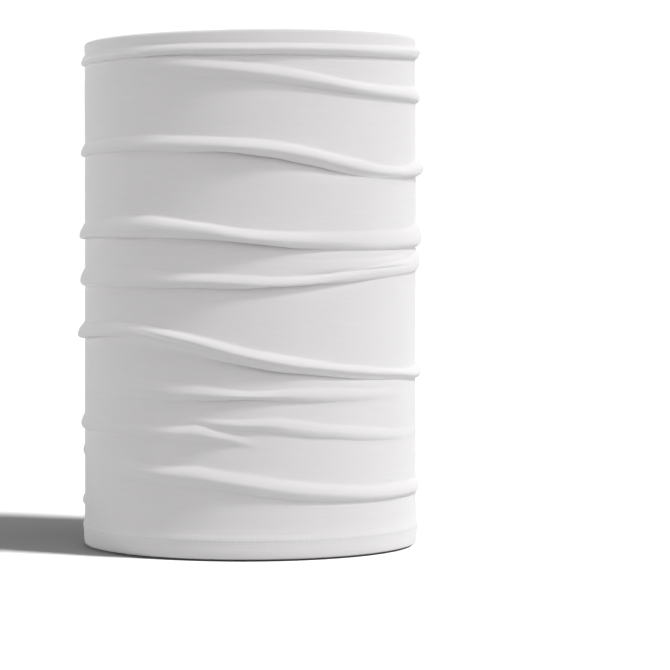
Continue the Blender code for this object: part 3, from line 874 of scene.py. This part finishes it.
def seam_straight(name, x, nodes):
    per = 12
    rows_, _ = seam_track(skin_out, NR, N_SEAM * per + 1)
    d = 180.0 + np.full(len(rows_), math.degrees(x / R))
    p, n_, w_ = skin_out.read(d, rows_)
    phase = (np.arange(len(rows_)) / per) % 1.0
    dip = np.exp(-((np.minimum(phase, 1 - phase) / 0.09) ** 2))
    n_ = n_ / np.linalg.norm(n_, axis=1, keepdims=True)
    p = p + n_ * (NEEDLE_R * 0.8 + 0.04 - dip * NEEDLE_R * 2.2)[:, None]
    return blend_thread(name, p, n_, NEEDLE_R, nodes)


def seam_crossing(name, surface, rows_total, sign, nodes, thick):
    per = 20
    n = N_SEAM * per
    t = np.arange(n + 1) / per
    base, _ = seam_track(surface, rows_total, n + 1)
    shift = 0.30 * np.sin(4 * math.pi * t) * per
    rows_ = np.interp(np.clip(np.arange(n + 1) + shift, 0, n), np.arange(n + 1), base)
    x = (SEAM_HALF - 0.1) * np.sin(2 * math.pi * t)
    p, n_, w_ = surface.read(180.0 + np.degrees(x / R), rows_)
    n_ = n_ / np.linalg.norm(n_, axis=1, keepdims=True) * sign
    over = 0.5 + 0.5 * np.sin(4 * math.pi * t + 0.8)
    near_row = np.abs(x) / SEAM_HALF
    p = p + n_ * (thick * (0.9 + 1.7 * over) + (0.30 if sign > 0 else 0.0) * smooth((near_row - 0.6) / 0.3))[:, None]
    return blend_thread(name, p, n_, thick, nodes)


seam_straight("back_seam_stitches_left", -SEAM_HALF, ["back_seam_needle_thread_left"])
seam_straight("back_seam_stitches_right", SEAM_HALF, ["back_seam_needle_thread_right"])
seam_crossing("back_seam_cover_stitches", skin_out, NR, 1.0, ["back_seam_cover_thread"], 0.15)
seam_crossing("back_seam_looper_stitches", skin_in, len(keep_rows), -1.0, ["back_seam_looper_thread"], 0.15)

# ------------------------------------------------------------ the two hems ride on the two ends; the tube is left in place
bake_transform(tube)
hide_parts("fabric_tube")
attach(bottom_hem, "lower_end")
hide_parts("bottom_hem")
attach(top_hem, "upper_end")
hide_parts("top_hem")


# ------------------------------------------------------------ materials
def node(tree, kind, **settings):
    n = tree.nodes.new(kind)
    for k, v in settings.items():
        if k == "inputs":
            for name_, value in v.items():
                n.inputs[name_].default_value = value
        else:
            setattr(n, k, v)
    return n


def math_node(tree, op, a, b=None, clamp=False):
    n = tree.nodes.new("ShaderNodeMath")
    n.operation = op
    n.use_clamp = clamp
    for i, v in enumerate((a, b)):
        if v is None:
            continue
        if isinstance(v, (int, float)):
            n.inputs[i].default_value = v
        else:
            tree.links.new(v, n.inputs[i])
    return n.outputs[0]


WALES = 700                             # columns of loops round the tube
COURSES = ROUND / 0.56                  # rows of loops per turn's length of cloth


def knit_material(name, tint=(0.812, 0.800, 0.805)):
    """White single-jersey knit: V-shaped loops in columns, soft fuzz, slight unevenness."""
    mat = bpy.data.materials.new(name)
    mat.use_nodes = True
    t = mat.node_tree
    t.nodes.clear()
    out_ = node(t, "ShaderNodeOutputMaterial")
    bsdf = node(t, "ShaderNodeBsdfPrincipled")
    t.links.new(bsdf.outputs[0], out_.inputs["Surface"])
    uv = node(t, "ShaderNodeUVMap", uv_map="knit")
    sep = node(t, "ShaderNodeSeparateXYZ")
    t.links.new(uv.outputs[0], sep.inputs[0])
    u = math_node(t, "MULTIPLY", sep.outputs[0], float(WALES))
    v = math_node(t, "MULTIPLY", sep.outputs[1], float(COURSES))
    # a slow wander keeps the rows from being ruler straight
    wander = node(t, "ShaderNodeTexNoise", noise_dimensions="2D", inputs={"Scale": 26.0, "Detail": 1.5, "Roughness": 0.5})
    t.links.new(uv.outputs[0], wander.inputs["Vector"])
    off = math_node(t, "MULTIPLY", math_node(t, "SUBTRACT", wander.outputs[0], 0.5), 2.2)
    v = math_node(t, "ADD", v, off)
    a = math_node(t, "FRACT", u)
    tri = math_node(t, "ABSOLUTE", math_node(t, "SUBTRACT", math_node(t, "MULTIPLY", a, 2.0), 1.0))   # 1 at the gap, 0 mid-wale
    rib = math_node(t, "SINE", math_node(t, "MULTIPLY", a, math.pi))                                   # 0 at the gap
    leg = math_node(t, "ADD", v, math_node(t, "MULTIPLY", tri, -0.55))
    loops = math_node(t, "ADD", math_node(t, "MULTIPLY", math_node(t, "COSINE", math_node(t, "MULTIPLY", leg, 2 * math.pi)), 0.5), 0.5)
    loops = math_node(t, "POWER", loops, 0.8)
    ribp = math_node(t, "POWER", rib, 0.35)
    knit = math_node(t, "MULTIPLY", ribp, math_node(t, "ADD", math_node(t, "MULTIPLY", loops, 0.6), 0.4))
    fuzz = node(t, "ShaderNodeTexNoise", noise_dimensions="2D", inputs={"Scale": 2600.0, "Detail": 2.0, "Roughness": 0.6})
    t.links.new(uv.outputs[0], fuzz.inputs["Vector"])
    height = math_node(t, "ADD", knit, math_node(t, "MULTIPLY", fuzz.outputs[0], 0.35))
    bump = node(t, "ShaderNodeBump", inputs={"Strength": 0.20, "Distance": 0.00013})
    t.links.new(height, bump.inputs["Height"])
    t.links.new(bump.outputs[0], bsdf.inputs["Normal"])
    # colour: painted shade in the gaps between loops, slow cloudiness over the cloth
    cloud = node(t, "ShaderNodeTexNoise", noise_dimensions="2D", inputs={"Scale": 14.0, "Detail": 3.0, "Roughness": 0.55})
    t.links.new(uv.outputs[0], cloud.inputs["Vector"])
    shade = math_node(t, "ADD", math_node(t, "MULTIPLY", knit, 0.035), 0.973)
    shade = math_node(t, "ADD", shade, math_node(t, "MULTIPLY", math_node(t, "SUBTRACT", cloud.outputs[0], 0.5), 0.035))
    shade = math_node(t, "ADD", shade, math_node(t, "MULTIPLY", math_node(t, "SUBTRACT", fuzz.outputs[0], 0.5), 0.03))
    # faint uneven rows, longer than they are high
    rows_at = node(t, "ShaderNodeCombineXYZ")
    t.links.new(math_node(t, "MULTIPLY", sep.outputs[0], 26.0), rows_at.inputs[0])
    t.links.new(math_node(t, "MULTIPLY", sep.outputs[1], 420.0), rows_at.inputs[1])
    streak = node(t, "ShaderNodeTexNoise", noise_dimensions="2D", inputs={"Scale": 1.0, "Detail": 2.0, "Roughness": 0.6})
    t.links.new(rows_at.outputs[0], streak.inputs["Vector"])
    shade = math_node(t, "ADD", shade, math_node(t, "MULTIPLY", math_node(t, "SUBTRACT", streak.outputs[0], 0.5), 0.045))
    colour = node(t, "ShaderNodeCombineColor")
    for i in range(3):
        t.links.new(math_node(t, "MULTIPLY", shade, tint[i], clamp=True), colour.inputs[i])
    t.links.new(colour.outputs[0], bsdf.inputs["Base Color"])
    rough = math_node(t, "ADD", math_node(t, "MULTIPLY", fuzz.outputs[0], 0.12), 0.82, clamp=True)
    t.links.new(rough, bsdf.inputs["Roughness"])
    bsdf.inputs["Diffuse Roughness"].default_value = 1.0
    bsdf.inputs["Specular IOR Level"].default_value = 0.25
    bsdf.inputs["Sheen Weight"].default_value = 0.18
    bsdf.inputs["Sheen Roughness"].default_value = 0.45
    bsdf.inputs["Sheen Tint"].default_value = (1, 1, 1, 1)
    return mat


def yarn_material(name, tint=(0.90, 0.90, 0.90)):
    """Twisted white polyester sewing thread."""
    mat = bpy.data.materials.new(name)
    mat.use_nodes = True
    t = mat.node_tree
    t.nodes.clear()
    out_ = node(t, "ShaderNodeOutputMaterial")
    bsdf = node(t, "ShaderNodeBsdfPrincipled")
    t.links.new(bsdf.outputs[0], out_.inputs["Surface"])
    uv = node(t, "ShaderNodeUVMap", uv_map="yarn")
    sep = node(t, "ShaderNodeSeparateXYZ")
    t.links.new(uv.outputs[0], sep.inputs[0])
    lay = math_node(t, "ADD", math_node(t, "MULTIPLY", sep.outputs[0], 2.0), math_node(t, "MULTIPLY", sep.outputs[1], 3.0))
    ply = math_node(t, "ABSOLUTE", math_node(t, "SINE", math_node(t, "MULTIPLY", lay, math.pi)))
    bump = node(t, "ShaderNodeBump", inputs={"Strength": 0.6, "Distance": 0.00006})
    t.links.new(ply, bump.inputs["Height"])
    t.links.new(bump.outputs[0], bsdf.inputs["Normal"])
    # painted shade: the thread's colour is darker in the grooves between its plies
    shade = math_node(t, "ADD", math_node(t, "MULTIPLY", math_node(t, "POWER", ply, 0.6), 0.16), 0.84)
    colour = node(t, "ShaderNodeCombineColor")
    for i in range(3):
        t.links.new(math_node(t, "MULTIPLY", shade, tint[i], clamp=True), colour.inputs[i])
    t.links.new(colour.outputs[0], bsdf.inputs["Base Color"])
    bsdf.inputs["Roughness"].default_value = 0.5
    bsdf.inputs["Sheen Weight"].default_value = 0.15
    return mat


knit = knit_material("knit_fabric")
yarn = yarn_material("sewing_thread")
for o in (tube, bottom_hem, top_hem):
    o.data.materials.clear()
    o.data.materials.append(knit)
for o in threads:
    o.data.materials.clear()
    o.data.materials.append(yarn)

# ------------------------------------------------------------ floor, light and camera
floor_mesh = bpy.data.meshes.new("studio_floor")
floor_mesh.from_pydata([(-9, -9, 0), (9, -9, 0), (9, 9, 0), (-9, 9, 0)], [], [(0, 1, 2, 3)])
floor = bpy.data.objects.new("studio_floor", floor_mesh)
floor.location.z = -0.00005
bpy.context.scene.collection.objects.link(floor)
fmat = bpy.data.materials.new("studio_floor")
fmat.use_nodes = True
ft = fmat.node_tree
ft.nodes.clear()
f_out = node(ft, "ShaderNodeOutputMaterial")
f_dif = node(ft, "ShaderNodeBsdfDiffuse")
path = node(ft, "ShaderNodeLightPath")
f_mix = node(ft, "ShaderNodeMix", data_type="RGBA")
for sock in f_mix.inputs:
    if sock.name == "Factor" and sock.type == "VALUE":
        ft.links.new(path.outputs["Is Camera Ray"], sock)
        break
f_mix.clamp_result = False
f_res = [s for s in f_mix.outputs if s.type == "RGBA"][0]
a_in = [s for s in f_mix.inputs if s.type == "RGBA"]
a_in[0].default_value = (0.142, 0.142, 0.142, 1)
a_in[1].default_value = (0.335, 0.338, 0.336, 1)
ft.links.new(f_res, f_dif.inputs["Color"])
ft.links.new(f_dif.outputs[0], f_out.inputs["Surface"])
floor_mesh.materials.append(fmat)

world = bpy.data.worlds.new("studio")
bpy.context.scene.world = world
world.use_nodes = True
wt = world.node_tree
wt.nodes.clear()
w_out = node(wt, "ShaderNodeOutputWorld")
w_cam = node(wt, "ShaderNodeBackground", inputs={"Color": (1, 1, 1, 1), "Strength": 1.05})
w_amb = node(wt, "ShaderNodeBackground", inputs={"Color": (1, 1, 1, 1), "Strength": 0.40})
# the room is brighter round its sides than overhead
w_pos = node(wt, "ShaderNodeTexCoord")
w_sep = node(wt, "ShaderNodeSeparateXYZ")
w_map = node(wt, "ShaderNodeMapRange", interpolation_type="SMOOTHSTEP",
             inputs={"From Min": 0.2, "From Max": 0.7, "To Min": 0.90, "To Max": 0.12})
wt.links.new(w_pos.outputs["Generated"], w_sep.inputs[0])
wt.links.new(w_sep.outputs["Z"], w_map.inputs["Value"])
wt.links.new(w_map.outputs["Result"], w_amb.inputs["Strength"])
w_mix = node(wt, "ShaderNodeMixShader")
w_path = node(wt, "ShaderNodeLightPath")
wt.links.new(w_path.outputs["Is Camera Ray"], w_mix.inputs[0])
wt.links.new(w_amb.outputs[0], w_mix.inputs[1])
wt.links.new(w_cam.outputs[0], w_mix.inputs[2])
wt.links.new(w_mix.outputs[0], w_out.inputs[0])


def soft_sun(name, azimuth, elevation, strength, angle):
    """A broad soft light from azimuth (0 front, 90 right) and elevation, in degrees."""
    data = bpy.data.lights.new(name, "SUN")
    data.energy = strength
    data.angle = math.radians(angle)
    obj = bpy.data.objects.new(name, data)
    a, e = math.radians(azimuth), math.radians(elevation)
    source = np.array([math.sin(a) * math.cos(e), -math.cos(a) * math.cos(e), math.sin(e)])
    from mathutils import Vector
    obj.rotation_mode = "QUATERNION"
    obj.rotation_quaternion = Vector(tuple(source)).to_track_quat("Z", "Y")
    bpy.context.scene.collection.objects.link(obj)
    return obj


soft_sun("key_right", 60.0, 54.0, 1.52, 8.0)
soft_sun("key_right_broad", 66.0, 45.0, 1.27, 72.0)
soft_sun("fill_left", -116.0, 2.0, 2.7, 60.0)
# the floor takes more of the key than the cloth, so that it stays white with a deep shadow
floor_key = soft_sun("key_floor", 64.0, 42.0, 14.0, 12.0)
floor_only = bpy.data.collections.new("floor_light")
floor_only.objects.link(floor)
floor_key.light_linking.receiver_collection = floor_only

EYE = 0.1419
DISTANCE = 1.320
FOCAL_PX = 2731.0
cam_data = bpy.data.cameras.new("camera")
cam_data.sensor_width = 36.0
cam_data.lens = 36.0 * FOCAL_PX / 670.0
cam_data.clip_start = 0.05
cam_data.clip_end = 50.0
camera = bpy.data.objects.new("camera", cam_data)
camera.location = (0.0, -DISTANCE, EYE)
yaw = math.atan(84.45 / FOCAL_PX)
pitch = math.atan((335.0 - 250.0) / FOCAL_PX)
camera.rotation_euler = (math.pi / 2 - pitch, 0.0, -yaw)
bpy.context.scene.collection.objects.link(camera)
bpy.context.scene.camera = camera
bpy.context.scene.view_settings.view_transform = "Standard"
bpy.context.scene.view_settings.look = "None"
